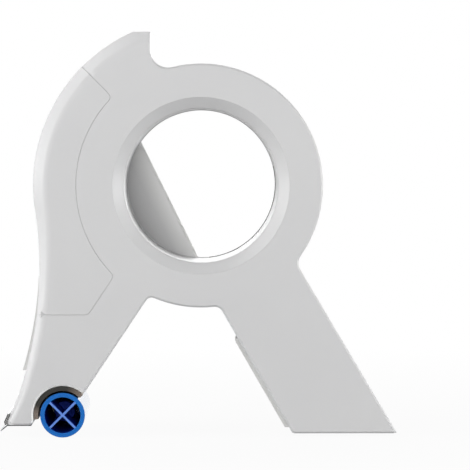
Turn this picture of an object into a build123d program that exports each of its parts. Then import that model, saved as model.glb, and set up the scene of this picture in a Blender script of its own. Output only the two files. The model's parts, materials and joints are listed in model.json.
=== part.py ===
"""Hand-held masking tape dispenser, built as separate moulded and metal pieces.

All lengths are millimetres. X runs from the cutter to the handle, Y from the side
that faces the viewer to the far side, and Z up. The origin lies on the axis of the
hub that carries the roll, half way across the roll bay.
"""
import os
from math import asin, cos, degrees, radians, sin, sqrt, tan

from build123d import *

# Roll bay and hub
hub_radius = 37.5             # carries a 76 mm paper core
hub_wall = 2.0
funnel_radius = 40.7          # mouth of the hub on the near face
funnel_depth = 4.0
hub_end_gap = 1.5             # from the hub's end to the door
ring_radius = 56.1            # disc behind the roll
rim_wall = 2.0
rim_depth = 6.0

# Body thickness and walls
body_width = 56.0
wall = 2.5
handle_width = 36.0
fit_gap = 0.05                # pins and shafts in their bores
seam_gap = 0.3                # between covers and the shells beside them
overrun = 5.0                 # cutters reach this far past what they cut

# Front housing, in X and Z
front_depth = 21.3            # from the ring's edge to the round front
front_turn_angle = 8.5        # where the front turns into its lower curve
prong_height = 14.6           # over the ring
prong_right = -23.2
tip_x = -89.6
leg_bottom = -110.4
tip_lean_angle = 23.0
leg_corner_x = -63.7          # slanted edge of the leg, carried down to its bottom
leg_lean_angle = 33.7
slant_wall_end = -83.0        # below it the slanted side is open for the tape
roller_wall_gap = 3.0         # the leg's bottom wall ends this far before the roller's notch

# Light band along the front edge, a wide chamfer on both faces
band_width = 5.5
band_tip_width = 2.3
band_turn_angle = 6.0
band_depth = 4.0
band_backing = 5.0            # width of the strip behind the band

# Handle, in X and Z
foot_left = 42.2
foot_right = 90.4
foot_z = -114.3
handle_left_lean_angle = 29.9
handle_right_lean_angle = 30.6
handle_root_z = -20.0

# Roundings of the outline
prong_fillet = 8.0
leg_fillet = 3.0
grip_fillet = 4.0
heel_fillet = 6.4
corner_round = 1.0
toe_round = 2.0
notch_round = 2.6             # where the roller's notch meets the leg's bottom
edge_break = 0.8

# Side cover over the front of the near wall
cover_radius = 57.5
cover_slant_x = -40.5
cover_slant_z = -42.3
cover_bottom = -59.5
cover_corner = 2.5
cover_ledge = 2.0
cover_ledge_thickness = 1.5
cover_rim_wall = 1.5
cover_rim_height = 3.0

# Loading door on the far side
door_border = 7.4             # from the round front to the door
door_hinge_inset = 4.5
door_bottom = -60.0
door_edge_x = 8.7             # a point on the door's slanted free edge
door_edge_z = -56.0
door_edge_lean_angle = 26.3
door_edge_bevel = 1.2         # on the free edge, towards the roll
door_rib_height = 2.0
door_rib_wall = 1.6
door_rib_inset = 6.0
door_gap = 0.5
knuckle_radius = 2.8
knuckle_length = 17.0
knuckle_count = 3
hinge_bottom = -30.0
hinge_pin_radius = 1.25
tongue_left = -50.0
tongue_width = 11.0
tongue_thickness = 1.6
tongue_depth = 4.0
tongue_swing_room = 2.5       # the slot is longer, because the tongue leaves on an arc

# Tape roller, its axle and the fender over it
roller_x = -63.9
roller_z = -105.8
roller_radius = 10.3
roller_wall = 2.0
roller_web = 1.0
web_angles = (45.0, 135.0)
roller_inset = 0.5            # the roller's near end lies inside the near face
roller_end_gap = 0.3
roller_hub_radius = 4.6
roller_hub_depth = 18.0       # the bored hub starts this far inside the near end
roller_blind = 2.0
axle_radius = 3.0
axle_flange_radius = 5.0
axle_flange = 1.5
cutout_radius = 13.5
fender_radius = 13.3
fender_wall = 2.0
fender_start_angle = 45.0
fender_end_angle = 189.0
peg_radius = 0.8
peg_angles = (85.0, 150.0)
hanger_radius = 9.5

# Cutter
blade_thickness = 0.5
blade_width = 52.0
blade_flange_end = -78.4
tooth_reach = 4.2
tooth_pitch = 2.0
tooth_height = 1.3
tooth_drop_angle = 40.0
stake_depth = 2.4
stake_width = 5.0
stake_x = -83.0
stake_spacing = 30.0
keeper_thickness = 0.6
keeper_lift = 0.3             # its free upper edge stands off the housing
keeper_top = -105.2

# Strips that stand proud of the shell
front_strip_top = -42.0
front_strip_bottom = -85.6
front_strip_start = 0.5       # thickness at its upper end
front_strip_thickness = 1.8   # and at its lower end
front_strip_width = 40.0
grip_strip_top = -70.4
grip_strip_bottom = -111.8
grip_strip_thickness = 1.8
grip_strip_width = 28.0

# Screws and their bosses
boss_radius = 3.4
screw_radius = 1.25
screw_head_radius = 2.6
screw_head_height = 1.8
screw_bite = 9.0
prong_boss_inset = 8.8        # from the prong's right side
prong_boss_rise = 4.9         # over the ring
leg_boss_inset = 9.5          # from the front edge
leg_boss_z = -80.0
handle_boss_z = -84.0

# Places worked out from the sizes above
front_radius = ring_radius + front_depth
prong_top = ring_radius + prong_height
door_top_radius = front_radius - door_border
door_left = door_hinge_inset - door_top_radius
near_face = -body_width / 2
far_face = body_width / 2
near_inner = near_face + wall
far_inner = far_face - wall
hub_end = far_inner - hub_end_gap
bore_radius = hub_radius - hub_wall
bay_radius = ring_radius - rim_wall
front_split = 0
handle_far = near_face + handle_width
handle_split = (near_face + handle_far) / 2
hinge_x = door_left - door_gap / 2
hinge_y = far_face + knuckle_radius + seam_gap


def slab(outline, start_y, end_y):
    """An outline drawn in X and Z, filled from one depth to another."""
    return extrude(Plane.XZ.offset(-start_y) * outline, amount=start_y - end_y)


def rod(x, z, radius, start_y, end_y):
    """A round bar along Y."""
    return slab(Pos(x, z) * Circle(radius), start_y, end_y)


def polygon(*points):
    """A closed outline with straight sides."""
    return make_face(Polyline(*points, close=True))


def sector(radius, start_angle, end_angle):
    """A slice of a disc round the roller's axis, its angles counted from +X towards +Z."""
    centre = Vector(roller_x, roller_z)
    arc = CenterArc(centre, radius, start_angle, end_angle - start_angle)
    return make_face([arc, Line(arc @ 1, centre), Line(centre, arc @ 0)])


def round_corner(outline, radius, x, z):
    """Round the corner of an outline that lies nearest to a place."""
    corner = outline.vertices().sort_by_distance((x, z))[0]
    return fillet(corner, radius)


def slant_x(z, inset=0):
    """X of the front leg's slanted edge at a height."""
    lean = radians(leg_lean_angle)
    return leg_corner_x + (z - leg_bottom) * tan(lean) - inset / cos(lean)


def handle_left_x(z, inset=0):
    """X of the handle's left side at a height."""
    lean = radians(handle_left_lean_angle)
    return foot_left - (z - foot_z) * tan(lean) + inset / cos(lean)


def handle_right_x(z, inset=0):
    """X of the handle's right side at a height."""
    lean = radians(handle_right_lean_angle)
    return foot_right - (z - foot_z) * tan(lean) - inset / cos(lean)


def door_edge(z, gap=0):
    """X of the door's slanted free edge at a height."""
    lean = radians(door_edge_lean_angle)
    return door_edge_x - (z - door_edge_z) * tan(lean) + gap / cos(lean)


def tip_point(inset=0):
    """The front's lowest point, moved in by the same distance from both sides."""
    lean = radians(tip_lean_angle)
    return Vector(tip_x + inset * (1 / cos(lean) + tan(lean)), leg_bottom + inset)


def lower_curve(radius, turn_angle, end):
    """The hollow curve from the round front down to the tip, tangent to the round front."""
    turn = radians(turn_angle)
    start = Vector(-radius * cos(turn), -radius * sin(turn))
    return TangentArc(start, end, tangent=(sin(turn), -cos(turn)))


def front_x(z):
    """X of the front edge at a height on its lower curve."""
    curve = lower_curve(front_radius, front_turn_angle, tip_point())
    centre = curve.arc_center
    return centre.X + sqrt(curve.radius ** 2 - (z - centre.Y) ** 2)


def front_outline(inset=0):
    """The front housing: prong, round front, lower curve, leg and its slanted edge."""
    radius = front_radius - inset
    top = prong_top - inset
    right = prong_right - inset
    start_angle = 180 - degrees(asin(top / radius))
    front = CenterArc((0, 0), radius, start_angle, 180 + front_turn_angle - start_angle)
    tip = tip_point(inset)
    lower = lower_curve(radius, front_turn_angle, tip)
    sides = Polyline(
        tip,
        (slant_x(leg_bottom + inset, inset), leg_bottom + inset),
        (slant_x(0, inset), 0),
        (right, 0),
        (right, top),
        front @ 0,
    )
    return make_face([front, lower] + sides.edges())


def handle_outline(inset=0):
    """The handle, from its root inside the ring down to its foot."""
    low = foot_z + inset
    return polygon(
        (handle_left_x(low, inset), low),
        (handle_right_x(low, inset), low),
        (handle_right_x(handle_root_z, inset), handle_root_z),
        (handle_left_x(handle_root_z, inset), handle_root_z),
    )


def cutout(gap=0):
    """The round notch in the front leg for the roller."""
    return Pos(roller_x, roller_z) * Circle(cutout_radius + gap)


def near_outline():
    """The whole near wall: front housing, ring and handle, with rounded corners."""
    outline = front_outline() + Circle(ring_radius) + handle_outline()
    outline = round_corner(outline, prong_fillet, prong_right, ring_radius)
    outline = round_corner(outline, leg_fillet, slant_x(-ring_radius), -ring_radius)
    outline = round_corner(outline, grip_fillet, handle_left_x(-ring_radius), -ring_radius)
    heel_z = -ring_radius * sin(radians(handle_left_lean_angle))
    outline = round_corner(outline, heel_fillet, handle_right_x(heel_z), heel_z)
    outline = round_corner(outline, toe_round, foot_left, foot_z)
    outline = round_corner(outline, corner_round, foot_right, foot_z)
    outline = round_corner(outline, corner_round, prong_right, prong_top)
    outline -= cutout()
    outline = round_corner(outline, notch_round, roller_x - cutout_radius, leg_bottom)
    return round_corner(outline, toe_round, roller_x + cutout_radius, roller_z + cutout_radius)


def banded_space():
    """All the space behind the front edge, with the wide chamfer of both faces."""
    reach = body_width * 2 + overrun

    def boundary(radius, turn_angle, tip, y):
        front = CenterArc((0, 0), radius, 90, 90 + turn_angle)
        lower = lower_curve(radius, turn_angle, tip)
        low = foot_z - overrun
        sides = Polyline(tip, (tip.X, low), (reach, low), (reach, radius), front @ 0)
        return Plane.XZ.offset(-y) * make_face([front, lower] + sides.edges())

    tip = tip_point()
    face_tip = Vector(tip.X + band_tip_width, tip.Y)
    face_edge = (front_radius - band_width, band_turn_angle, face_tip)
    full_edge = (front_radius, band_turn_angle, tip)
    full_face = boundary(*full_edge, near_face + band_depth)
    near_band = loft([boundary(*face_edge, near_face), full_face], ruled=True)
    far_band = mirror(near_band, Plane.XZ)
    middle = extrude(full_face, amount=2 * band_depth - body_width)
    return near_band + middle + far_band


def band_strip():
    """A strip along the front edge that backs the chamfer."""
    return front_outline() - Pos(band_backing, -wall) * front_outline() - Circle(bay_radius) - cutout()


def front_walls():
    """Walls round the front housing, open to the roll bay and where the tape leaves."""
    walls = front_outline() - front_outline(wall) - Circle(bay_radius) - cutout(roller_wall_gap)
    tape_exit = polygon(
        (roller_x - cutout_radius / 2, slant_wall_end),
        (roller_x - cutout_radius / 2, leg_bottom),
        (roller_x + 2 * cutout_radius, leg_bottom),
        (roller_x + 2 * cutout_radius, slant_wall_end),
    )
    return walls - tape_exit


def handle_walls():
    """Walls round the hollow handle, closed towards the roll bay."""
    hollow = handle_outline(wall) - Circle(bay_radius + wall)
    return handle_outline() - Circle(bay_radius) - hollow


def cover_region(inset=0):
    """The part of the near wall that the side cover closes, reaching past the front edge."""
    lean = radians(leg_lean_angle)
    low = cover_bottom + inset
    radius = cover_radius + inset
    root_x = cover_slant_x - cover_slant_z * tan(lean) - inset / cos(lean)
    low_x = root_x + low * tan(lean)
    root = Vector(-inset, -inset) / sqrt(2)
    top = root + Vector(-front_radius, front_radius)
    region = polygon((low_x, low), (root_x, 0), root, top, (top.X, low)) - Circle(radius)
    rounding = max(cover_corner - inset, seam_gap)
    for x, z in ((-radius, radius), (cover_slant_x, cover_slant_z), (low_x, low)):
        region = round_corner(region, rounding, x, z)
    return region


def front_bosses():
    """X and Z of the screws in the front housing: one in the prong and one in the leg."""
    prong = (prong_right - prong_boss_inset, ring_radius + prong_boss_rise)
    return [prong, (front_x(leg_boss_z) + leg_boss_inset, leg_boss_z)]


def handle_bosses():
    """X and Z of the screw in the middle of the handle."""
    middle_x = (handle_left_x(handle_boss_z) + handle_right_x(handle_boss_z)) / 2
    return [(middle_x, handle_boss_z)]


def bosses(places, end_y):
    """Posts from the near wall to the far one, with pilot holes that the screws bite into."""
    posts = []
    for x, z in places:
        pilot = rod(x, z, screw_radius + fit_gap, end_y - screw_bite, end_y)
        posts.append(rod(x, z, boss_radius, near_inner, end_y) - pilot)
    return posts


def screw_holes(places, end_y):
    """Clear holes for the screws in a far wall."""
    return [rod(x, z, screw_radius + seam_gap, end_y - wall, end_y) for x, z in places]


def near_shell():
    """Near wall with the ring, the near half of the front walls and of the handle."""
    shell = slab(near_outline(), near_face, near_inner)
    shell = chamfer(shell.edges().group_by(Axis.Y)[0], edge_break)
    shell += slab(front_walls(), near_inner, front_split)
    shell += slab(band_strip(), near_inner, near_inner + wall)
    shell += slab(handle_walls(), near_inner, handle_split)
    rim = Circle(ring_radius) - Circle(bay_radius)
    shell += slab(rim, near_inner, near_face + rim_depth)
    ledge = (cover_region(-cover_ledge) - cover_region(cover_ledge)) & near_outline()
    shell -= slab(cover_region(), near_face, near_inner)
    shell -= slab(cover_region() - front_outline(wall), near_face, near_face + band_depth)
    shell -= slab(cover_region(cover_ledge) & front_outline(wall), near_face, near_inner + wall)
    shell += slab(ledge & front_outline(wall), near_inner, near_inner + cover_ledge_thickness)
    shell += bosses(front_bosses(), far_inner)
    shell += bosses(handle_bosses(), handle_far - wall)
    shell -= rod(0, 0, funnel_radius + fit_gap, near_face - overrun, near_inner + overrun)
    return (shell + blade_stake(-stake_spacing / 2)) & banded_space()


def side_cover():
    """Lift-off panel in the near wall, with the band's part and a locating rim."""
    face = cover_region(seam_gap) & front_outline()
    inner = cover_region(cover_ledge + seam_gap + cover_rim_wall)
    rim_inset = wall + seam_gap
    panel = slab(face, near_face, near_inner)
    panel += slab(face - front_outline(rim_inset + cover_rim_wall), near_inner, near_face + band_depth)
    panel -= slab(cover_region() - cover_region(cover_ledge + seam_gap), near_inner, near_face + band_depth)
    panel += slab(face - front_outline(wall), near_inner, near_face + band_depth)
    rim = (cover_region(cover_ledge + seam_gap) & front_outline(rim_inset))
    rim -= inner & front_outline(rim_inset + cover_rim_wall)
    panel += slab(rim, near_inner, near_inner + cover_rim_height)
    return panel & banded_space()


def roll_hub():
    """Hollow hub with its funnel mouth, which fills the hole in the near wall."""
    profile = polygon(
        (funnel_radius, near_face),
        (bore_radius, near_face + funnel_depth),
        (bore_radius, hub_end),
        (hub_radius, hub_end),
        (hub_radius, near_inner),
        (funnel_radius, near_inner),
    )
    return revolve(profile, Axis.Y)


def door_outline(gap=0):
    """The loading door: round top, straight hinge side, slanted free edge."""
    low = door_bottom - gap
    left = door_left - gap
    high = door_top_radius + gap
    sweep = polygon(
        (left, low),
        (door_edge(low, gap), low),
        (door_edge(high, gap), high),
        (left, high),
    )
    rounded_top = Circle(high) + polygon((left, low), (high, low), (high, 0), (left, 0))
    behind = Circle(ring_radius - door_gap) + front_outline()
    return sweep & rounded_top & behind


def tongue(room=0):
    """Tongue at the door's lower edge, or the slot for it when given room."""
    top = door_bottom + tongue_thickness
    left = tongue_left - room
    right = tongue_left + tongue_width + room + (tongue_swing_room if room else 0)
    low = door_bottom - room
    return polygon((left, low), (right, low), (right, top + room), (left, top + room))


def knuckle(index, side):
    """One hinge knuckle with the block that joins it to the wall on one side."""
    low = hinge_bottom + index * knuckle_length
    high = low + knuckle_length - seam_gap
    middle = Pos(hinge_x, hinge_y, (low + high) / 2)
    barrel = middle * Cylinder(knuckle_radius, high - low)
    bore = middle * Cylinder(hinge_pin_radius + fit_gap, high - low + overrun)
    block = Pos(hinge_x + side * knuckle_radius / 2, (far_face + hinge_y) / 2, (low + high) / 2)
    block *= Box(knuckle_radius, hinge_y - far_face, high - low)
    return barrel + block - bore


def loading_door():
    """Far side plate that keeps the roll on the hub and swings open to load it."""
    door = slab(door_outline(), far_inner, far_face)
    free_edge = door.edges().group_by(Axis.Y)[0].sort_by(SortBy.LENGTH)[-1]
    door = chamfer(free_edge, door_edge_bevel)
    low = door_bottom
    rib_line = polygon(
        (door_edge(low, -door_rib_inset), low),
        (door_edge(low, -door_rib_inset + door_rib_wall), low),
        (door_edge(door_top_radius, -door_rib_inset + door_rib_wall), door_top_radius),
        (door_edge(door_top_radius, -door_rib_inset), door_top_radius),
    )
    door += slab(rib_line & door_outline(-door_gap), far_face, far_face + door_rib_height)
    for index in range(1, knuckle_count, 2):
        door += knuckle(index, 1)
    return door + slab(tongue(), far_inner - tongue_depth, far_inner)


def door_pin():
    """Plain hinge pin, as long as the row of knuckles."""
    length = knuckle_count * knuckle_length - seam_gap
    return Pos(hinge_x, hinge_y, hinge_bottom + length / 2) * Cylinder(hinge_pin_radius, length)


def front_back_shell():
    """Far half of the front housing, with the arm that carries the roller's axle."""
    far_wall = front_outline() - cutout() - Circle(bay_radius)
    far_wall += sector(cutout_radius, fender_start_angle, fender_end_angle)
    far_wall += Pos(roller_x, roller_z) * Circle(hanger_radius)
    shell = slab(front_walls(), front_split, far_inner)
    shell += slab(band_strip(), far_inner - wall, far_inner)
    shell += slab(far_wall - door_outline(door_gap), far_inner, far_face)
    shell -= slab(door_outline(), far_inner, far_face)
    shell -= screw_holes(front_bosses(), far_face)
    shell -= slab(tongue(seam_gap), far_inner - tongue_depth - seam_gap, far_inner)
    shell -= rod(roller_x, roller_z, axle_radius + fit_gap, far_inner - overrun, far_face + overrun)
    for angle in peg_angles:
        shell -= fender_peg(angle, peg_radius + fit_gap)
    shell = (shell + blade_stake(stake_spacing / 2)) & banded_space()
    for index in range(0, knuckle_count, 2):
        shell += knuckle(index, -1)
    return shell


def handle_back_shell():
    """Far half of the handle."""
    shell = slab(handle_walls(), handle_split, handle_far - wall)
    shell += slab(handle_outline() - Circle(bay_radius), handle_far - wall, handle_far)
    return shell - screw_holes(handle_bosses(), handle_far)


def screws(places, seat_y):
    """Pan-head screws driven through a far wall."""
    group = []
    for x, z in places:
        shank = rod(x, z, screw_radius, seat_y - wall - screw_bite, seat_y)
        group.append(shank + rod(x, z, screw_head_radius, seat_y, seat_y + screw_head_height))
    return group


def tape_roller():
    """Hollow roller with crossed webs, bored from its far end for the axle."""
    near_end = near_face + roller_inset
    far_end = far_inner - roller_end_gap
    at_axis = Pos(roller_x, roller_z)
    web_length = 2 * roller_radius - roller_wall
    section = Circle(roller_radius) - Circle(roller_radius - roller_wall)
    for angle in web_angles:
        section += Rot(0, 0, angle) * Rectangle(web_length, roller_web)
    roller = slab(at_axis * section, near_end, far_end)
    hub_start = near_end + roller_hub_depth
    roller += rod(roller_x, roller_z, roller_hub_radius, hub_start, far_end)
    bore_start = hub_start + roller_blind
    return roller - rod(roller_x, roller_z, axle_radius + fit_gap, bore_start, far_end + overrun)


def roller_axle():
    """Steel axle that stands from the far wall into the roller, with a flange outside."""
    start = near_face + roller_inset + roller_hub_depth + roller_blind + roller_end_gap
    axle = rod(roller_x, roller_z, axle_radius, start, far_face)
    return axle + rod(roller_x, roller_z, axle_flange_radius, far_face, far_face + axle_flange)


def fender_peg(angle, radius):
    """A peg on the fender's far end, or the hole for it."""
    middle = fender_radius - fender_wall / 2
    x = roller_x + middle * cos(radians(angle))
    z = roller_z + middle * sin(radians(angle))
    return rod(x, z, radius, far_inner, far_face)


def roller_fender():
    """Curved guard over the roller that keeps the tape from wrapping round it."""
    guard = sector(fender_radius, fender_start_angle, fender_end_angle)
    guard -= Pos(roller_x, roller_z) * Circle(fender_radius - fender_wall)
    fender = slab(guard, near_face + roller_inset, far_inner)
    for angle in peg_angles:
        fender += fender_peg(angle, peg_radius)
    return fender


def blade_stake(y, room=0):
    """A flat moulded post through the leg's bottom and the blade's flange, or its slot."""
    length = wall + blade_thickness
    middle_z = leg_bottom - blade_thickness + length / 2
    return Pos(stake_x, y, middle_z) * Box(stake_depth + 2 * room, stake_width + 2 * room, length)


def cutter_blade():
    """Serrated strip, its flange flat under the leg and its teeth pointing down and forward."""
    drop = radians(tooth_drop_angle)
    bend = Vector(tip_x, leg_bottom - blade_thickness)
    flange = Pos((bend.X + blade_flange_end) / 2, 0, leg_bottom - blade_thickness / 2)
    flange *= Box(blade_flange_end - bend.X, blade_width, blade_thickness)
    for y in (-stake_spacing / 2, stake_spacing / 2):
        flange -= blade_stake(y, fit_gap)
    count = round(blade_width / tooth_pitch)
    pitch = blade_width / count
    edge = [(0, -blade_width / 2), (0, blade_width / 2)]
    for index in range(count):
        high = blade_width / 2 - index * pitch
        edge.append((tooth_reach - tooth_height, high))
        edge.append((tooth_reach, high - pitch / 2))
    edge.append((tooth_reach - tooth_height, -blade_width / 2))
    along = (-cos(drop), 0, -sin(drop))
    across = (-sin(drop), 0, cos(drop))
    down = Plane(origin=(bend.X, 0, leg_bottom), x_dir=along, z_dir=across)
    teeth = extrude(down * polygon(*edge), amount=-blade_thickness)
    return flange + teeth


def blade_keeper():
    """Thin strip over the front of the tip that covers the blade's bend."""
    inner = [(front_x(leg_bottom), leg_bottom), (front_x(keeper_top) - keeper_lift, keeper_top)]
    outer = [(x - keeper_thickness, z) for x, z in reversed(inner)]
    strip = polygon(*inner, *outer)
    return slab(strip, -blade_width / 2, blade_width / 2)


def front_strip():
    """Pad on the front of the leg that grows thicker downwards and ends in a step."""
    middle_z = (front_strip_top + front_strip_bottom) / 2
    start = Vector(front_x(front_strip_top), front_strip_top)
    end = Vector(front_x(front_strip_bottom), front_strip_bottom)
    inner = ThreePointArc(start, (front_x(middle_z), middle_z), end)
    outer_start = start - Vector(front_strip_start, 0)
    outer_end = end - Vector(front_strip_thickness, 0)
    outer_middle = (front_x(middle_z) - (front_strip_start + front_strip_thickness) / 2, middle_z)
    outer = ThreePointArc(outer_start, outer_middle, outer_end)
    pad = make_face([inner, Line(end, outer_end), outer, Line(outer_start, start)])
    return slab(pad, -front_strip_width / 2, front_strip_width / 2)


def grip_strip():
    """Pad on the handle's left side."""
    thickness = -grip_strip_thickness
    taper = grip_strip_top - grip_strip_thickness
    pad = polygon(
        (handle_left_x(grip_strip_top), grip_strip_top),
        (handle_left_x(taper, thickness), taper),
        (handle_left_x(grip_strip_bottom, thickness), grip_strip_bottom),
        (handle_left_x(grip_strip_bottom), grip_strip_bottom),
    )
    middle = (near_face + handle_far) / 2
    return slab(pad, middle - grip_strip_width / 2, middle + grip_strip_width / 2)


pieces = {
    "near_shell": near_shell(),
    "side_cover": side_cover(),
    "roll_hub": roll_hub(),
    "front_back_shell": front_back_shell(),
    "handle_back_shell": handle_back_shell(),
    "loading_door": loading_door(),
    "door_hinge_pin": door_pin(),
    "tape_roller": tape_roller(),
    "roller_axle": roller_axle(),
    "roller_fender": roller_fender(),
    "cutter_blade": cutter_blade(),
    "blade_keeper": blade_keeper(),
    "front_strip": front_strip(),
    "handle_strip": grip_strip(),
    "housing_screws": Compound(screws(front_bosses(), far_face) + screws(handle_bosses(), handle_far)),
}

os.makedirs("parts", exist_ok=True)
for name, piece in pieces.items():
    export_step(piece, f"parts/{name}.step")
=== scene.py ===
# %% [markdown]
# # A masking tape dispenser
# The CAD model already has every piece at its real place and size.
# This lesson dresses it. Each moulded piece gets clean shading, soft edges and a finish that is
# built from nodes. A camera and soft studio light then show it as a product photograph would.

# %% Load the CAD model
import json
from math import atan2, cos, degrees, hypot, pi, radians, sin

import bmesh
import bpy
from mathutils import Matrix, Vector


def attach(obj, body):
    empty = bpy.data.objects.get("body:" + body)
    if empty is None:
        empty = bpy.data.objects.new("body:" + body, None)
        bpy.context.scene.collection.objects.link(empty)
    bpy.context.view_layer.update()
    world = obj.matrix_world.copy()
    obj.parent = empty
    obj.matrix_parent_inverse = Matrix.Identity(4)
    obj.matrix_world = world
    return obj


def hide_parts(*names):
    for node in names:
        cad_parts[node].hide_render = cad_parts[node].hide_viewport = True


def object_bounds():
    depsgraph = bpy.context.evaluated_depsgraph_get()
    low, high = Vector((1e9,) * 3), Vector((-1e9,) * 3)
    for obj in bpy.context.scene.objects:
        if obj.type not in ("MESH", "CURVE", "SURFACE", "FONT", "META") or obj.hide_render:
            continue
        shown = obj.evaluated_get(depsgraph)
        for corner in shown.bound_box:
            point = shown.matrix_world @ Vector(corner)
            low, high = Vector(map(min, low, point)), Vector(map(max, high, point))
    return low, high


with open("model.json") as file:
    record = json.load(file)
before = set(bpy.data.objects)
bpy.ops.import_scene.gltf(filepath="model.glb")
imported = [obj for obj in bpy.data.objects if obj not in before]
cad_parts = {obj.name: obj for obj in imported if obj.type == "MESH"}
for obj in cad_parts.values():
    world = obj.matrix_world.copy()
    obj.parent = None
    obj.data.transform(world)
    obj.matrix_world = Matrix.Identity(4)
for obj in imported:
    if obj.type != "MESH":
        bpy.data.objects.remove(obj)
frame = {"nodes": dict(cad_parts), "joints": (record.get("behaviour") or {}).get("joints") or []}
cad_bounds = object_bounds()
nodes = frame["nodes"]
joints = {joint["name"]: joint for joint in frame["joints"]}
MM = 0.001
print("nodes:", ", ".join(sorted(nodes)))

# %% [markdown]
# ## Colours and nodes
# A colour is easiest to write as the hex value that a screen shows, but Blender mixes light,
# so every colour goes through one function that makes it linear.
# A second function adds any node with its settings and links, so a material reads as a list.


# %% Helpers for materials
def linear(hex_colour):
    """An sRGB hex colour as the linear colour that the shaders work with."""
    channels = [int(hex_colour[i:i + 2], 16) / 255 for i in (1, 3, 5)]
    return [c / 12.92 if c <= 0.04045 else ((c + 0.055) / 1.055) ** 2.4 for c in channels] + [1]


def add_node(tree, kind, inputs=(), **settings):
    """Add a node, set what is given for it, and link each input that is given a socket."""
    node = tree.nodes.new(kind)
    for name, value in settings.items():
        setattr(node, name, value)
    for name, value in dict(inputs).items():
        if isinstance(value, bpy.types.NodeSocket):
            tree.links.new(value, node.inputs[name])
        else:
            node.inputs[name].default_value = value
    return node


def per_mm(size):
    """The texture scale whose pattern repeats about once in a size in millimetres."""
    return 1 / (size * MM)


def start_material(name):
    """An empty material, its node tree and the place on the object that patterns follow."""
    material = bpy.data.materials.new(name)
    material.use_nodes = True
    tree = material.node_tree
    tree.nodes.clear()
    place = add_node(tree, "ShaderNodeTexCoord").outputs["Object"]
    return material, tree, place


def end_material(tree, inputs):
    """Close a material with its surface shader."""
    surface = add_node(tree, "ShaderNodeBsdfPrincipled", inputs)
    add_node(tree, "ShaderNodeOutputMaterial", {"Surface": surface.outputs["BSDF"]})


print("grey #D2D2D2 is", [round(c, 3) for c in linear("#D2D2D2")])

# %% [markdown]
# ## Moulded plastics
# The shells are injection-moulded ABS. The steel mould was spark-eroded, so the plastic has a
# fine matt grain that breaks up reflections. A noise texture gives that grain as a bump.
# Slow flow of the melt leaves faint clouds in tone, which a second, much larger noise gives.
# The real grain is near 0.1 mm, too fine to show, so it is drawn at 0.7 mm.
# No mould makes a knife edge, so a Bevel node bends the light at each edge as a small round
# would. It needs no clean edge loops, which the triangles of a CAD shape don't have.
# Two finishes stand in for light and shade: a nearly white one is a painted highlight on some
# edges, and a dark grey, duller one is painted shade in a corner.

# %% Moulded plastic
CLOUD_SIZE = 60
GRAIN_SIZE = 0.7
GRAIN_DEPTH = 0.01
GRAIN_STRENGTH = 0.5
NOISE_RANGE = {"From Min": 0.3, "From Max": 0.7}
PLASTIC_SPREAD = 0.04
PLASTIC_IOR = 1.53
COAT_ROUGHNESS = 0.03
EDGE_ROUND = 0.2
EDGE_SAMPLES = 8


def moulded_plastic(name, low, high, roughness, grain=GRAIN_SIZE, depth=GRAIN_DEPTH,
                    ior=PLASTIC_IOR, gloss=0.5, edge_round=EDGE_ROUND, crisp_within=0, coat=0):
    """Moulded plastic: two close tones in slow clouds, the mould's grain and soft edges.

    Sizes are in millimetres. Edges nearer to the hub's axis than crisp_within stay as they are.
    """
    material, tree, place = start_material(name)
    clouds = add_node(tree, "ShaderNodeTexNoise", {
        "Vector": place, "Scale": per_mm(CLOUD_SIZE), "Detail": 2})
    fine = add_node(tree, "ShaderNodeTexNoise", {
        "Vector": place, "Scale": per_mm(grain), "Detail": 1})
    sheen = add_node(tree, "ShaderNodeMapRange", {
        "Value": fine.outputs["Fac"], **NOISE_RANGE,
        "To Min": roughness - PLASTIC_SPREAD, "To Max": roughness + PLASTIC_SPREAD})
    across = add_node(tree, "ShaderNodeVectorMath", {0: place, 1: (1, 0, 1)}, operation="MULTIPLY")
    reach = add_node(tree, "ShaderNodeVectorMath", {0: across.outputs["Vector"]}, operation="LENGTH")
    beyond = add_node(tree, "ShaderNodeMath", {
        0: reach.outputs["Value"], 1: crisp_within * MM}, operation="GREATER_THAN")
    rounding = add_node(tree, "ShaderNodeMath", {
        0: beyond.outputs["Value"], 1: edge_round * MM}, operation="MULTIPLY")
    soft_edge = add_node(tree, "ShaderNodeBevel", {
        "Radius": rounding.outputs["Value"]}, samples=EDGE_SAMPLES)
    bump = add_node(tree, "ShaderNodeBump", {
        "Height": fine.outputs["Fac"], "Strength": GRAIN_STRENGTH, "Distance": depth * MM,
        "Normal": soft_edge.outputs["Normal"]})
    tone = add_node(tree, "ShaderNodeMix", {
        "Factor": clouds.outputs["Fac"], "A": linear(low), "B": linear(high)}, data_type="RGBA")
    end_material(tree, {
        "Base Color": tone.outputs["Result"], "Roughness": sheen.outputs["Result"],
        "IOR": ior, "Specular IOR Level": gloss, "Coat Weight": coat,
        "Coat Roughness": COAT_ROUGHNESS, "Normal": bump.outputs["Normal"]})
    return material


grey_abs = moulded_plastic("spark_eroded_grey_abs", "#CBCBCC", "#D3D3D3", 0.4, crisp_within=42)
# painted highlight: a nearly white finish for the notch's lip and the door's bevel
painted_highlight_abs = moulded_plastic("abs_painted_highlight", "#FAFAF8", "#FEFEFC", 0.3)
# painted shade: a dark grey, duller finish for the lower right of the hub's lip
painted_shade_abs = moulded_plastic("grey_abs_painted_shade", "#4A4A49", "#5C5C5A", 0.5, edge_round=0)
print("plastics:", grey_abs.name, painted_highlight_abs.name, painted_shade_abs.name)
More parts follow.
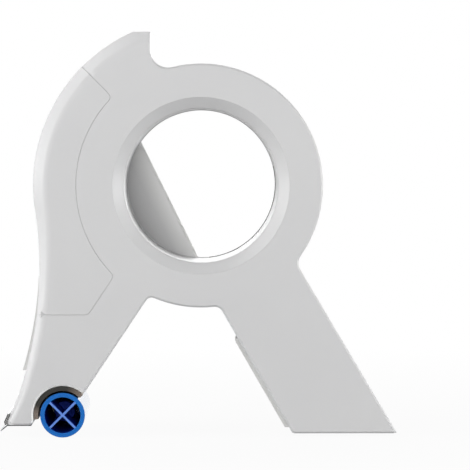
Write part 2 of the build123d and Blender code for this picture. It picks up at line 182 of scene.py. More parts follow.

# %% [markdown]
# ## The roller's blues
# The roller is one moulding in a deep blue ABS, but it has several finishes. Its rim is satin and
# its outside is polished by the mould so that the tape runs off it. The ends of its webs face the
# viewer and are painted a paler blue as painted light. Deep inside the tube little light arrives,
# so the blue there is painted darker and duller as painted shade.

# %% Blue plastics
blue_rim = moulded_plastic(
    "satin_blue_abs", "#0064B8", "#066CC2", 0.4, grain=1.2, gloss=0.2, edge_round=0.3)
# painted light: a paler blue for the web ends that face the viewer
blue_painted_light = moulded_plastic("blue_abs_painted_light", "#5C86D8", "#6C94E4", 0.45, gloss=0.2)
# painted shade: a darker, duller blue for the inside of the tube
blue_painted_shade = moulded_plastic("blue_abs_painted_shade", "#12309A", "#1638AC", 0.5, gloss=0.1)
blue_outside = moulded_plastic(
    "polished_blue_abs", "#3C8AD2", "#4896DC", 0.12, grain=3, depth=0.002, ior=1.7, coat=1)
print("blues:", blue_rim.name, blue_painted_light.name, blue_painted_shade.name, blue_outside.name)

# %% [markdown]
# ## Steel
# The cutter and its keeper are cold-rolled stainless strip. Rolling leaves fine lines along the
# strip, so its noise is stretched along Y and turned into both a bump and uneven roughness.
# Their edges were sheared, which leaves a torn, dull face, and the burr at its corner is nearly
# black. The axle, the hinge pin and the screws are bright turned steel, whose tool marks are
# lines round the Y axis.

# %% Steel strip and turned steel
STEEL_SPREAD = 0.08
MARK_STRENGTH = 0.4
ALONG_STRIP = (1, 0.02, 1)
TORN = (1, 0.3, 1)
ROUND_Y = (0.05, 1, 0.05)


def steel(name, tone, roughness, stretch, pitch=0.4, depth=0.01):
    """Steel whose tool marks are a noise, drawn out along one direction."""
    material, tree, place = start_material(name)
    drawn_out = add_node(tree, "ShaderNodeMapping", {"Vector": place, "Scale": stretch})
    marks = add_node(tree, "ShaderNodeTexNoise", {
        "Vector": drawn_out.outputs["Vector"], "Scale": per_mm(pitch), "Detail": 2})
    sheen = add_node(tree, "ShaderNodeMapRange", {
        "Value": marks.outputs["Fac"], **NOISE_RANGE,
        "To Min": roughness - STEEL_SPREAD, "To Max": roughness + STEEL_SPREAD})
    bump = add_node(tree, "ShaderNodeBump", {
        "Height": marks.outputs["Fac"], "Strength": MARK_STRENGTH, "Distance": depth * MM})
    end_material(tree, {
        "Base Color": linear(tone), "Metallic": 1,
        "Roughness": sheen.outputs["Result"], "Normal": bump.outputs["Normal"]})
    return material


strip_steel = steel("cold_rolled_stainless_strip", "#A9ABAD", 0.32, ALONG_STRIP)
sheared_steel = steel("sheared_steel_edge", "#46484A", 0.6, TORN, pitch=0.6, depth=0.03)
shear_burr = steel("dark_shear_burr", "#1C1D1E", 0.7, TORN, pitch=0.6, depth=0.03)
bright_steel = steel("bright_turned_steel", "#C9CACC", 0.22, ROUND_Y)
print("steels:", strip_steel.name, sheared_steel.name, shear_burr.name, bright_steel.name)

# %% [markdown]
# ## Soft and dull finishes
# The two pads are a soft, moulded, rubber-like plastic with no shine. Fine grain scatters the
# light and a little dust makes the tone uneven.
# The keeper's inner side is painted a pale tone that is just as dull, as painted light, so one
# function makes both.

# %% Soft rubber and dried glue
DUST_SIZE = 5
RUBBER_GRAIN = 0.8
RUBBER_DEPTH = 0.02
RUBBER_STRENGTH = 0.6
RUBBER_ROUGHNESS = 0.72
RUBBER_IOR = 1.5


def soft_rubber(name, tone, speck):
    """A soft dull surface with a fine grain and a trace of dust in it."""
    material, tree, place = start_material(name)
    dust_and_light = add_node(tree, "ShaderNodeTexNoise", {
        "Vector": place, "Scale": per_mm(DUST_SIZE), "Detail": 4})
    grain = add_node(tree, "ShaderNodeTexNoise", {
        "Vector": place, "Scale": per_mm(RUBBER_GRAIN), "Detail": 1})
    bump = add_node(tree, "ShaderNodeBump", {
        "Height": grain.outputs["Fac"], "Strength": RUBBER_STRENGTH,
        "Distance": RUBBER_DEPTH * MM})
    dusty_and_lit = add_node(tree, "ShaderNodeMix", {
        "Factor": dust_and_light.outputs["Fac"], "A": linear(tone), "B": linear(speck)}, data_type="RGBA")
    end_material(tree, {
        "Base Color": dusty_and_lit.outputs["Result"], "Roughness": RUBBER_ROUGHNESS,
        "IOR": RUBBER_IOR, "Normal": bump.outputs["Normal"]})
    return material


pad_rubber = soft_rubber("moulded_grey_soft_rubber", "#D9D9D7", "#D1D1CF")
# painted light: a pale dull finish for the keeper's inner side
keeper_painted_light = soft_rubber("tape_residue_on_steel", "#F2F2EF", "#E6E6E2")
print("soft and dull:", pad_rubber.name, keeper_painted_light.name)

# %% [markdown]
# ## Pieces from the CAD shapes
# A CAD shape arrives as loose triangles. A copy is welded into one skin first. Then the shading
# is decided edge by edge: faces that meet at a small angle are a curve and are smoothed, and
# faces that meet at a large angle stay apart. Flat walls are marked flat, because smoothing
# across their long thin triangles would draw fans of light and shade.

# %% Weld, shade and place a copy
WELD = 0.002 * MM
CREASE = radians(30)
FLAT_WALL = 0.999


def welded_copy(node):
    """A bmesh of a CAD node with its loose triangles joined."""
    shape = bmesh.new()
    shape.from_mesh(nodes[node].data)
    bmesh.ops.remove_doubles(shape, verts=shape.verts, dist=WELD)
    shape.normal_update()
    return shape


def make_piece(shape, name, materials, body):
    """Turn a bmesh into a piece that rides on a body."""
    shape.normal_update()
    for face in shape.faces:
        face.smooth = abs(face.normal.y) < FLAT_WALL
    for edge in shape.edges:
        edge.smooth = edge.calc_face_angle(pi) < CREASE
    mesh = bpy.data.meshes.new(name)
    shape.to_mesh(mesh)
    shape.free()
    for material in materials:
        mesh.materials.append(material)
    piece = bpy.data.objects.new(name, mesh)
    bpy.context.scene.collection.objects.link(piece)
    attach(piece, body)
    print(f"{name}: {len(mesh.polygons)} faces in {len(materials)} finish(es)")
    return piece


def dress(node, name, materials, body="frame", choose=None):
    """Replace a CAD node by its finished copy, each face in the finish that is chosen for it."""
    shape = welded_copy(node)
    if choose:
        for face in shape.faces:
            face.material_index = choose(face)
    piece = make_piece(shape, name, materials, body)
    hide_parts(node)


print("smoothed below", round(degrees(CREASE)), "degrees")

# %% [markdown]
# ## The leg's tip and the far shells
# Just above the cutter the front of the leg stands out by about a millimetre. So the shape is
# cut at a few heights, and each corner near the front moves forwards by what its height asks.
# The near shell and the cutter's keeper follow the same line later, by the same function.
# The profile pairs each height with how far the front stands out there, in millimetres.

# %% Swell the leg's tip and dress the far shells
TIP_PROFILE = [(-96.0, 0.0), (-101.0, 0.4), (-105.0, 0.8), (-109.0, 1.15), (-110.6, 0.1)]
TIP_TOP = -90
TIP_FRONT = -81.5
TIP_SLANT = 0.349
TIP_DEPTH = 6


def tip_shift(height):
    """How far the leg's front stands out at a height, both in millimetres."""
    for (upper, before), (lower, after) in zip(TIP_PROFILE, TIP_PROFILE[1:]):
        if lower <= height <= upper:
            return before + (after - before) * (upper - height) / (upper - lower)
    return 0


def from_front(vert):
    """How far a corner lies behind the leg's slanted front near its tip, in millimetres."""
    return vert.co.x / MM - TIP_FRONT - TIP_SLANT * (vert.co.z / MM - TIP_TOP)


def at_tip(face):
    """Whether a face reaches the front of the leg near its tip."""
    return any(vert.co.z < TIP_TOP * MM and from_front(vert) < TIP_DEPTH for vert in face.verts)


def swell_tip(shape):
    """Let the front of the leg stand a little further out just above the cutter."""
    for height, _ in TIP_PROFILE:
        near = list(filter(at_tip, shape.faces))
        edges = {edge for face in near for edge in face.edges}
        verts = {vert for face in near for vert in face.verts}
        bmesh.ops.bisect_plane(shape, geom=list(verts) + list(edges) + near, dist=WELD,
                               plane_co=(0, 0, height * MM), plane_no=(0, 0, 1))
    front = [vert for vert in shape.verts if from_front(vert) < TIP_DEPTH]
    for vert in front:
        vert.co.x -= tip_shift(vert.co.z / MM) * MM
    print("corners near the tip:", len(front))


far_shape = welded_copy("front_back_shell")
swell_tip(far_shape)
far_piece = make_piece(far_shape, "far_front_shell", [grey_abs], "frame")
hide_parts("front_back_shell")
dress("handle_back_shell", "far_handle_shell", [grey_abs])

# %% [markdown]
# ## The loading door, the pads and the pins
# The inside of the loading door is painted darker away from its free edge as painted shade and
# lighter towards it as painted light, and its bevel gets a painted highlight. The finish follows
# the distance from that slanted edge, which is read from its bevel.
# The pads and the pins keep the shape of the CAD model and only get their finish.
# A face is recognised by its normal, whose Y part is -1 where it looks straight to the near side.

# %% The loading door, with painted shade and light towards its free edge
PAINTED_LIGHT_REACH = 9
PAINTED_SHADE_REACH = 24
SLOPE = (-0.95, -0.3)
ASIDE = 0.2


def painted_light_plate(name, outwards, at_edge, shade_tone, base_tone, lit_tone, roughness=0.4):
    """Plastic painted light at an edge, plain some way in and painted shade beyond."""
    material, tree, place = start_material(name)
    along = add_node(tree, "ShaderNodeVectorMath", {0: place, 1: outwards}, operation="DOT_PRODUCT")
    light_start = at_edge - PAINTED_LIGHT_REACH * MM
    light_ramp = add_node(tree, "ShaderNodeMapRange", {
        "Value": along.outputs["Value"], "From Min": light_start, "From Max": at_edge})
    shade_ramp = add_node(tree, "ShaderNodeMapRange", {
        "Value": along.outputs["Value"], "From Min": at_edge - PAINTED_SHADE_REACH * MM,
        "From Max": light_start})
    plain = add_node(tree, "ShaderNodeMix", {
        "Factor": shade_ramp.outputs["Result"], "A": linear(shade_tone), "B": linear(base_tone)},
        data_type="RGBA")
    with_light = add_node(tree, "ShaderNodeMix", {
        "Factor": light_ramp.outputs["Result"], "A": plain.outputs["Result"], "B": linear(lit_tone)},
        data_type="RGBA")
    end_material(tree, {
        "Base Color": with_light.outputs["Result"], "Roughness": roughness, "IOR": PLASTIC_IOR})
    return material


def broadest(faces):
    """The face with the largest area."""
    return max(faces, key=lambda face: face.calc_area())


def is_slope(face):
    """Whether a face looks to the near side at a slant."""
    return SLOPE[0] < face.normal.y < SLOPE[1]


def is_bevel(face):
    """Whether a face of the door is the bevel along its free edge."""
    return is_slope(face) and face.normal.x > ASIDE


def door_finish(face):
    """1 for the bevel's painted highlight, 2 for the inside with painted shade and light, 0 for the
    rest.
    """
    if is_bevel(face):
        return 1
    return 2 if face.normal.y < -FLAT_WALL else 0


door_shape = welded_copy("loading_door")
bevel_face = broadest(filter(is_bevel, door_shape.faces))
outwards = Vector((bevel_face.normal.x, 0, bevel_face.normal.z)).normalized()
# the door's inside: painted shade away from the free edge, painted light towards it
door_shade_and_light_abs = painted_light_plate("grey_abs_painted_shade_and_light", outwards, bevel_face.verts[0].co.dot(outwards),
                          shade_tone="#ACACAD", base_tone="#D2D2D2", lit_tone="#FCFCFA")
door_shape.free()
dress("loading_door", "loading_door_plate", [grey_abs, painted_highlight_abs, door_shade_and_light_abs],
      body="door", choose=door_finish)
dress("front_strip", "front_pad", [pad_rubber])
dress("handle_strip", "handle_pad", [pad_rubber])
dress("door_hinge_pin", "hinge_pin", [bright_steel])
dress("roller_axle", "roller_axle_pin", [bright_steel])

# %% [markdown]
# ## The near shell
# Along the front edge runs a wide chamfer, lighter than the flat wall because it turns to the
# light. Its inner edge isn't crisp: it melts into the wall over two or three millimetres.
# So those edges are found by the way their faces look, and get a wide bevel of their own.
# The lip of the roller's notch gets a nearly white finish as a painted highlight.

# %% Soften the inner edge of the chamfer
NEAR_WALL = round(cad_bounds[0][1] / MM, 3)
WALL = 2.5
NEAR_INNER = NEAR_WALL + WALL
CHAMFER_REACH = 66 * MM
CHAMFER_RIGHT = -20 * MM
NOTCH_REACH = 16 * MM
MELT = 1.6 * MM
MELT_STEPS = 5
ROLLER_AXIS = Vector(joints["roller_spin"]["pos_m"])
NOTCH_LIP = (13.4 * MM, 14.6 * MM)
LIP_SLOPE = (-0.95, -0.1)


def along_front(place):
    """Whether a place is near the front edge, away from the hub, the prong's side and the roller."""
    from_roller = place - ROLLER_AXIS
    return (hypot(place.x, place.z) > CHAMFER_REACH and place.x < CHAMFER_RIGHT
            and hypot(from_roller.x, from_roller.z) > NOTCH_REACH)


def soften_chamfer(shape):
    """Bevel the edges between the flat near wall and the wide chamfer along the front."""
    found = []
    for edge in shape.edges:
        flat, slope = sorted(edge.link_faces, key=lambda face: face.normal.y)
        turned = is_slope(slope) and slope.normal.x < -ASIDE
        if flat.normal.y < -FLAT_WALL and turned and all(along_front(vert.co) for vert in edge.verts):
            found.append(edge)
    bmesh.ops.bevel(shape, geom=found, offset=MELT, offset_type="OFFSET", segments=MELT_STEPS,
                    profile=0.5, affect="EDGES", material=-1, clamp_overlap=False)
    print("chamfer edges softened:", len(found))


def paint_notch_highlight(shape):
    """Paint a highlight on the lip round the roller's notch."""
    for face in shape.faces:
        middle = face.calc_center_median()
        from_roller = middle - ROLLER_AXIS
        at_lip = NOTCH_LIP[0] < hypot(from_roller.x, from_roller.z) < NOTCH_LIP[1]
        slanted = LIP_SLOPE[0] < face.normal.y < LIP_SLOPE[1]
        # the lip's nearly white finish is a painted highlight
        face.material_index = int(at_lip and slanted and middle.y < NEAR_INNER * MM)


near_shape = welded_copy("near_shell")
soften_chamfer(near_shape)
paint_notch_highlight(near_shape)
swell_tip(near_shape)
near_piece = make_piece(
    near_shape, "near_shell_moulding", [grey_abs, painted_highlight_abs], "frame")
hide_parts("near_shell")

# %% [markdown]
# ## The cover
# The cover's seam is a hairline on the real object. The CAD leaves 0.3 mm there for the motion,
# which looks too dark, so the cover's copy reaches a little into that gap.

# %% The cover and its hairline seam
SEAM_FILL = 0.2 * MM
UPRIGHT = 0.1


def close_seam(shape):
    """Move the cover's seam walls outwards, each corner along the mean of its walls."""
    moves = {}
    for face in shape.faces:
        if face.calc_center_median().y < NEAR_INNER * MM and abs(face.normal.y) < UPRIGHT:
            for vert in face.verts:
                moves[vert] = moves.get(vert, Vector()) + face.normal
    for vert, way in moves.items():
        vert.co += way.normalized() * SEAM_FILL
    print("seam corners moved:", len(moves))


cover_shape = welded_copy("side_cover")
soften_chamfer(cover_shape)
close_seam(cover_shape)
cover_piece = make_piece(cover_shape, "side_cover_panel", [grey_abs], "cover")
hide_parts("side_cover")

# %% [markdown]
# ## The hub
# The hub is a body of revolution, so it is drawn as half a section and spun round the Y axis.
# Its funnel and its bore meet in a small round. At the far end a lip stands 0.3 mm inwards, and
# its lower right part is painted dark grey as painted shade. It shows as a thin dark line inside
# the bright wall of the bore.

# %% Draw the hub's section, in millimetres
BORE_RADIUS, HUB_WALL, FAR_END = 35.5, 2, 24
FUNNEL_RADIUS, FUNNEL_DEPTH = 40.7, 4
LIP_HEIGHT, LIP_WIDTH = 0.3, 0.6
CONE = 1.7
HUB_RADIUS = BORE_RADIUS + HUB_WALL
LIP_RADIUS = BORE_RADIUS - LIP_HEIGHT
BORE_START = NEAR_WALL + FUNNEL_DEPTH
LIP_START = FAR_END - LIP_WIDTH
HUB_SECTION = [
    (FUNNEL_RADIUS, NEAR_WALL), (BORE_RADIUS, BORE_START), (BORE_RADIUS, LIP_START),
    (LIP_RADIUS, LIP_START), (LIP_RADIUS, FAR_END), (HUB_RADIUS, FAR_END),
    (HUB_RADIUS, NEAR_INNER + CONE), (HUB_RADIUS + CONE, NEAR_INNER), (FUNNEL_RADIUS, NEAR_INNER)]
print("hub: bore", 2 * BORE_RADIUS, "mm, length", FAR_END - NEAR_WALL, "mm")

# %% Spin the hub
HUB_STEPS = 180
BORE_ROUND = 0.7
ROUND_STEPS = 4
PAINTED_SHADE_ARC = (radians(-85), radians(15))


def spin_section(section, steps):
    """A closed half section of (radius, y) in millimetres, spun once round the Y axis."""
    shape = bmesh.new()
    corners = [shape.verts.new((radius * MM, y * MM, 0)) for radius, y in section]
    sides = [shape.edges.new((corners[i - 1], corners[i])) for i in range(len(corners))]
    bmesh.ops.spin(shape, geom=corners + sides, cent=(0, 0, 0), axis=(0, 1, 0),
                   angle=2 * pi, steps=steps, use_merge=True)
    bmesh.ops.remove_doubles(shape, verts=shape.verts, dist=WELD)
    bmesh.ops.recalc_face_normals(shape, faces=shape.faces)
    return shape


def ring_edges(shape, radius, y):
    """The edges of the ring that one corner of the section drew."""
    def on_ring(vert):
        off_radius = abs(hypot(vert.co.x, vert.co.z) - radius * MM)
        return off_radius < WELD and abs(vert.co.y - y * MM) < WELD
    return [edge for edge in shape.edges if all(on_ring(vert) for vert in edge.verts)]


def hub_finish(face):
    """1 for the part of the lip painted as shade, 0 for the rest."""
    middle = face.calc_center_median()
    inside = hypot(middle.x, middle.z) < BORE_RADIUS * MM - WELD
    on_lip = inside and middle.y > LIP_START * MM - WELD
    return int(on_lip and PAINTED_SHADE_ARC[0] < atan2(middle.z, middle.x) < PAINTED_SHADE_ARC[1])


hub_shape = spin_section(HUB_SECTION, HUB_STEPS)
bore_mouth = ring_edges(hub_shape, BORE_RADIUS, BORE_START)
bmesh.ops.bevel(hub_shape, geom=bore_mouth, offset=BORE_ROUND * MM, offset_type="OFFSET",
                segments=ROUND_STEPS, profile=0.5, affect="EDGES", material=-1)
# the lower right of the far lip is painted dark as shade
for face in hub_shape.faces:
    face.material_index = hub_finish(face)
hub_piece = make_piece(
    hub_shape, "hub_with_funnel", [grey_abs, painted_shade_abs], "frame")
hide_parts("roll_hub")

# %% [markdown]
# ## The roller, its guard and the cutter
# The roller's faces pick their finish by where they are: the rim and the outside by their
# radius, the ends of the webs by facing the viewer, and the rest lies inside the tube.
# The guard has a dull grain and is painted near black as painted shade in the gap behind the
# roller. Towards its two ends it is painted paler and browner as painted light, so its tone
# follows the angle round the roller's axis.
# The cutter is seen edge-on, so its sheared ends count for more in the picture than its broad
# sides.

# %% Finishes for the roller, the guard and the cutter
TUBE_INSIDE = 8.4 * MM
TUBE_OUTSIDE = 9.8 * MM
WEB_END_Y = -27 * MM
FACING = 0.9
HALF_TURNED = 0.5
# angles round the roller's axis over which the guard turns from painted shade to painted light
GUARD_LIT_ENDS = [(80, 48), (158, 176)]


def roller_finish(face):
    """0 for the rim, 1 for the web ends, 2 for the inside and 3 for the outside."""
    middle = face.calc_center_median()
    reach = hypot(middle.x - ROLLER_AXIS.x, middle.z - ROLLER_AXIS.z)
    if reach > TUBE_OUTSIDE and abs(face.normal.y) < HALF_TURNED:
        return 3
    if reach > TUBE_INSIDE:
        return 0
    return 1 if middle.y < WEB_END_Y and face.normal.y < -FACING else 2


def sheared_end(face):
    """1 for the cut ends of a strip, 0 for its rolled sides."""
    return int(abs(face.normal.y) > FACING)


def guard_shade_and_light(name, base_tone, dust_and_light, roughness=0.5, gloss=0.2):
    """Nylon painted dark as shade over the roller and paler towards both ends as painted light."""
    material, tree, place = start_material(name)
    from_axis = add_node(tree, "ShaderNodeVectorMath", {
        0: place, 1: ROLLER_AXIS}, operation="SUBTRACT")
    parts = add_node(tree, "ShaderNodeSeparateXYZ", {"Vector": from_axis.outputs["Vector"]})
    angle = add_node(tree, "ShaderNodeMath", {
        0: parts.outputs["Z"], 1: parts.outputs["X"]}, operation="ARCTAN2")
    ends = [add_node(tree, "ShaderNodeMapRange", {
        "Value": angle.outputs["Value"], "From Min": radians(start), "From Max": radians(end)})
        for start, end in GUARD_LIT_ENDS]
    dusty_and_lit = add_node(tree, "ShaderNodeMath", {
        0: ends[0].outputs["Result"], 1: ends[1].outputs["Result"]}, operation="MAXIMUM")
    fine = add_node(tree, "ShaderNodeTexNoise", {
        "Vector": place, "Scale": per_mm(GRAIN_SIZE), "Detail": 1})
    bump = add_node(tree, "ShaderNodeBump", {
        "Height": fine.outputs["Fac"], "Strength": GRAIN_STRENGTH,
        "Distance": GRAIN_DEPTH * MM})
    tone = add_node(tree, "ShaderNodeMix", {
        "Factor": dusty_and_lit.outputs["Value"], "A": linear(base_tone), "B": linear(dust_and_light)},
        data_type="RGBA")
    end_material(tree, {
        "Base Color": tone.outputs["Result"], "Roughness": roughness, "IOR": PLASTIC_IOR,
        "Specular IOR Level": gloss, "Normal": bump.outputs["Normal"]})
    return material


# painted shade over the roller, painted light towards both ends
guard_painted_nylon = guard_shade_and_light("nylon_painted_shade_and_light", "#2C2B28", "#7C7067")
print("guard:", guard_painted_nylon.name)

# %% Dress the roller, the guard and the cutter
dress("tape_roller", "blue_tape_roller", [blue_rim, blue_painted_light, blue_painted_shade, blue_outside],
      body="roller", choose=roller_finish)
dress("roller_fender", "roller_guard", [guard_painted_nylon])
dress("cutter_blade", "serrated_cutter", [strip_steel, sheared_steel],
      choose=sheared_end)

# %% [markdown]
# ## The keeper
# The keeper is bent, and only the outer corner of its sheared end is dark. The rest of the end
# and its inner side are painted pale as painted light. So its outer side is moved out a little,
# and its end is cut along a line that parts the two finishes.

# %% Bend the keeper and split its end
KEEPER_BEND = 0.1 * MM
KEEPER_DARK = 0.5 * MM


def bend_keeper(shape):
    """Move the keeper's outer side out, cut its end in two and choose the finishes."""
    outer_side = broadest(face for face in shape.faces if face.normal.x < -HALF_TURNED)
    outwards = outer_side.normal.copy()
    for vert in outer_side.verts:
        vert.co += outwards * KEEPER_BEND
    parting = outer_side.verts[0].co - outwards * KEEPER_DARK
    bmesh.ops.bisect_plane(shape, geom=shape.verts[:] + shape.edges[:] + shape.faces[:],
                           plane_co=parting, plane_no=outwards)
    for face in shape.faces:
        inner = face.calc_center_median().dot(outwards) < parting.dot(outwards)
        # the inner part of the keeper gets the pale painted light
        face.material_index = 2 if inner else sheared_end(face)


keeper_shape = welded_copy("blade_keeper")
bend_keeper(keeper_shape)
swell_tip(keeper_shape)
keeper_piece = make_piece(keeper_shape, "cutter_keeper", [strip_steel, shear_burr, keeper_painted_light],
                          "frame")
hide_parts("blade_keeper")

# %% [markdown]
# ## The screws
# Three pan-head screws hold the shells together from the far side. A head is a ring of edges
# pulled up, with a cross of edges in its middle that is sunk for the driver.

# %% Make one screw and set it three times
SCREW_SIDES = 32
HEAD_RADIUS, HEAD_HEIGHT = 2.6, 1.8
SHANK_RADIUS, SHANK_LENGTH = 1.25, 11.5
CROSS_ARM, CROSS_WIDTH, CROSS_DEPTH, CROSS_TAPER = 1.5, 0.45, 1.1, 0.7
HEAD_ROUND = 0.8
HANDLE_WIDTH = 36
FAR_WALL, HANDLE_FAR = -NEAR_WALL, NEAR_WALL + HANDLE_WIDTH
SCREW_PLACES = [(-32, FAR_WALL, 61), (-69.96, FAR_WALL, -80), (48.63, HANDLE_FAR, -84)]


def pull(shape, edges, distance, scale=1):
    """Extrude a ring of edges along Z and scale it, and give the new ring."""
    new = bmesh.ops.extrude_edge_only(shape, edges=edges)["geom"]
    corners = [item for item in new if isinstance(item, bmesh.types.BMVert)]
    bmesh.ops.scale(shape, verts=corners, vec=(scale, scale, 1))
    bmesh.ops.translate(shape, verts=corners, vec=(0, 0, distance * MM))
    return [item for item in new if isinstance(item, bmesh.types.BMEdge)
            and all(vert in corners for vert in item.verts)]


def pan_head_screw():
    """A screw that stands on Z, its head's seat at the origin, then laid along Y."""
    shape = bmesh.new()
    bmesh.ops.create_circle(shape, segments=SCREW_SIDES, radius=HEAD_RADIUS * MM)
    seat = list(shape.edges)
    top = pull(shape, seat, HEAD_HEIGHT)
    neck = pull(shape, seat, 0, SHANK_RADIUS / HEAD_RADIUS)
    tip = pull(shape, neck, -SHANK_LENGTH)
    bmesh.ops.edgeloop_fill(shape, edges=tip)
    arm = [(CROSS_WIDTH, CROSS_WIDTH), (CROSS_ARM, CROSS_WIDTH), (CROSS_ARM, -CROSS_WIDTH)]
    corners = []
    for quarter in range(4):
        turn = Matrix.Rotation(-quarter * pi / 2, 3, "Z")
        corners += [shape.verts.new(turn @ Vector((x, y, HEAD_HEIGHT)) * MM) for x, y in arm]
    cross = [shape.edges.new((corners[i - 1], corners[i])) for i in range(len(corners))]
    bmesh.ops.bridge_loops(shape, edges=top + cross)
    floor = pull(shape, cross, -CROSS_DEPTH, CROSS_TAPER)
    bmesh.ops.edgeloop_fill(shape, edges=floor)
    bmesh.ops.recalc_face_normals(shape, faces=shape.faces)
    bmesh.ops.bevel(shape, geom=top, offset=HEAD_ROUND * MM, offset_type="OFFSET",
                    segments=ROUND_STEPS, profile=0.5, affect="EDGES", material=-1,
                    clamp_overlap=True)
    bmesh.ops.rotate(shape, verts=shape.verts, cent=(0, 0, 0),
                     matrix=Matrix.Rotation(-pi / 2, 3, "X"))
    return shape


screw_shape = pan_head_screw()
one_screw = bpy.data.meshes.new("one_screw")
screw_set = bmesh.new()
for place in SCREW_PLACES:
    bmesh.ops.translate(screw_shape, verts=screw_shape.verts, vec=Vector(place) * MM)
    screw_shape.to_mesh(one_screw)
    screw_set.from_mesh(one_screw)
    bmesh.ops.translate(screw_shape, verts=screw_shape.verts, vec=Vector(place) * -MM)
screw_shape.free()
screw_piece = make_piece(screw_set, "housing_screw_set", [bright_steel], "frame")
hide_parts("housing_screws")

# %% [markdown]
# ## Camera
# The camera looks at the flat wall through a long lens. Two things in the picture tell where it
# stood: how much smaller the bore's far end looks than its mouth gives the distance, and the
# side on which the bore's wall shows gives the place beside the object.

# %% Place the camera
CAMERA_DISTANCE = 1200 * MM
PICTURE_WIDTH = 216 * MM
PICTURE_CENTRE = Vector((15.6, NEAR_WALL, -22.66)) * MM
CAMERA_PLACE = Vector((4 * MM, NEAR_WALL * MM - CAMERA_DISTANCE, 21 * MM))
SENSOR_WIDTH = 36


def turn_towards(thing, target):
    """Turn a camera or lamp so that it looks at a place."""
    thing.rotation_euler = (target - thing.location).to_track_quat("-Z", "Y").to_euler()


camera = bpy.data.objects.new("camera", bpy.data.cameras.new("camera"))
camera.data.sensor_width = SENSOR_WIDTH
camera.data.lens = SENSOR_WIDTH * CAMERA_DISTANCE / PICTURE_WIDTH
camera.location = CAMERA_PLACE
turn_towards(camera, PICTURE_CENTRE)
bpy.context.scene.collection.objects.link(camera)
bpy.context.scene.camera = camera
bpy.context.scene.view_settings.view_transform = "Standard"
print("lens:", round(camera.data.lens, 1), "mm")

# %% [markdown]
# ## Light
# Large soft lamps light the object: a wide one behind the camera and some at each side, so the
# chamfer and both sides of the funnel are lighter than the flat wall. Two more stand behind the
# object. They light its far side, for whoever walks round it, and the left wall of the bore.

# %% Place the lamps
OBJECT_CENTRE = Vector((0, 0, -20 * MM))
# name, azimuth and elevation in degrees, distance, width and height in metres, watts
SOFTBOXES = [
    ("front_softbox", 0, 0, 2.6, 2.2, 2.2, 42),
    ("front_left_softbox", -40, 0, 2.2, 1.2, 1.2, 10),
    ("left_softbox", -75, 0, 1.6, 1.0, 1.0, 19),
    ("upper_left_softbox", -72, 42, 1.6, 1.0, 1.0, 9),
    ("right_strip", 75, 0, 1.6, 1.0, 0.25, 13),
    ("upper_right_softbox", 75, 20, 1.6, 1.0, 1.0, 6),
    ("back_softbox", 180, 20, 2.4, 1.6, 1.6, 20),
    ("back_right_softbox", 150, 8, 2.2, 1.2, 0.8, 12),
]


def softbox(name, azimuth, elevation, distance, width, height, watts):
    """A wide or square area lamp, its azimuth counted from straight in front to the right."""
    lamp = bpy.data.lights.new(name, "AREA")
    lamp.shape = "RECTANGLE"
    lamp.size, lamp.size_y = width, height
    lamp.energy = watts
    holder = bpy.data.objects.new(name, lamp)
    turn, rise = radians(azimuth), radians(elevation)
    direction = Vector((sin(turn) * cos(rise), -cos(turn) * cos(rise), sin(rise)))
    holder.location = OBJECT_CENTRE + direction * distance
    turn_towards(holder, OBJECT_CENTRE)
    bpy.context.scene.collection.objects.link(holder)


for lamp in SOFTBOXES:
    softbox(*lamp)
print("lamps:", len(SOFTBOXES))

# %% [markdown]
# ## Background
# The background is plain white. Only rays that come from the camera, a reflection or glass see
# it, so it adds no light of its own beyond a weak even one.

# %% Make the world
WHITE = (1, 1, 1, 1)
AMBIENT = 0.05


def seen_directly(tree):
    """1 for the camera's rays and for reflected and transmitted ones, otherwise 0."""
    path = add_node(tree, "ShaderNodeLightPath")
    mirrored = add_node(tree, "ShaderNodeMath", {
        0: path.outputs["Is Glossy Ray"], 1: path.outputs["Is Transmission Ray"]},
        operation="MAXIMUM")
    seen = add_node(tree, "ShaderNodeMath", {
        0: path.outputs["Is Camera Ray"], 1: mirrored.outputs["Value"]}, operation="MAXIMUM")
    return seen.outputs["Value"]


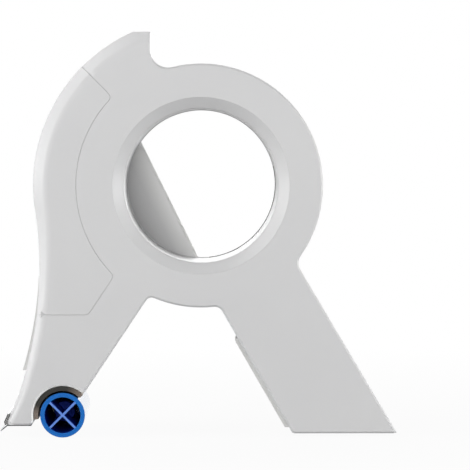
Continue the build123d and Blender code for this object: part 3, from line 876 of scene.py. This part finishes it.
def white_world(ambient):
    """White to look at, with a weak grey light on the object."""
    world = bpy.data.worlds.new("plain_white")
    bpy.context.scene.world = world
    world.use_nodes = True
    tree = world.node_tree
    tree.nodes.clear()
    strength = add_node(tree, "ShaderNodeMapRange", {
        "Value": seen_directly(tree), "To Min": ambient, "To Max": 1})
    sky = add_node(tree, "ShaderNodeBackground", {
        "Color": WHITE, "Strength": strength.outputs["Result"]})
    add_node(tree, "ShaderNodeOutputWorld", {"Surface": sky.outputs["Background"]})


white_world(AMBIENT)
print("world:", bpy.context.scene.world.name)

# %% [markdown]
# ## Floor
# The floor is matt white paper. It glows white to the camera like the background, and near the
# object a small share of the glow gives way to the paper, which takes the object's soft shadow.

# %% Make the floor
FLOOR_HALF = 4
SHADOW_REACH = 0.5
SHADOW_SHARE = 0.06


def white_paper(name):
    """White paper whose shadows show only near the object."""
    material, tree, place = start_material(name)
    paper = add_node(tree, "ShaderNodeBsdfDiffuse", {"Color": linear("#BFBFBF")})
    glow = add_node(tree, "ShaderNodeEmission", {"Color": WHITE, "Strength": 1})
    centre = add_node(tree, "ShaderNodeMapping", {
        "Vector": place, "Scale": (1 / SHADOW_REACH, 1 / SHADOW_REACH, 0)})
    fade = add_node(tree, "ShaderNodeTexGradient", {
        "Vector": centre.outputs["Vector"]}, gradient_type="SPHERICAL")
    glowing = add_node(tree, "ShaderNodeMapRange", {
        "Value": fade.outputs["Fac"], "To Min": 1, "To Max": 1 - SHADOW_SHARE})
    share = add_node(tree, "ShaderNodeMath", {
        0: seen_directly(tree), 1: glowing.outputs["Result"]}, operation="MULTIPLY")
    mixed = add_node(tree, "ShaderNodeMixShader", {
        "Fac": share.outputs["Value"], 1: paper.outputs["BSDF"], 2: glow.outputs["Emission"]})
    add_node(tree, "ShaderNodeOutputMaterial", {"Surface": mixed.outputs["Shader"]})
    return material


def white_floor(height, half_width):
    """A floor that looks white and keeps a soft shadow near the object."""
    shape = bmesh.new()
    bmesh.ops.create_grid(shape, x_segments=1, y_segments=1, size=half_width)
    bmesh.ops.translate(shape, verts=shape.verts, vec=(0, 0, height))
    mesh = bpy.data.meshes.new("floor")
    shape.to_mesh(mesh)
    shape.free()
    floor = bpy.data.objects.new("floor", mesh)
    bpy.context.scene.collection.objects.link(floor)
    mesh.materials.append(white_paper("matt_white_paper"))


white_floor(cad_bounds[0][2], FLOOR_HALF)
print("floor at", round(cad_bounds[0][2] / MM, 1), "mm")
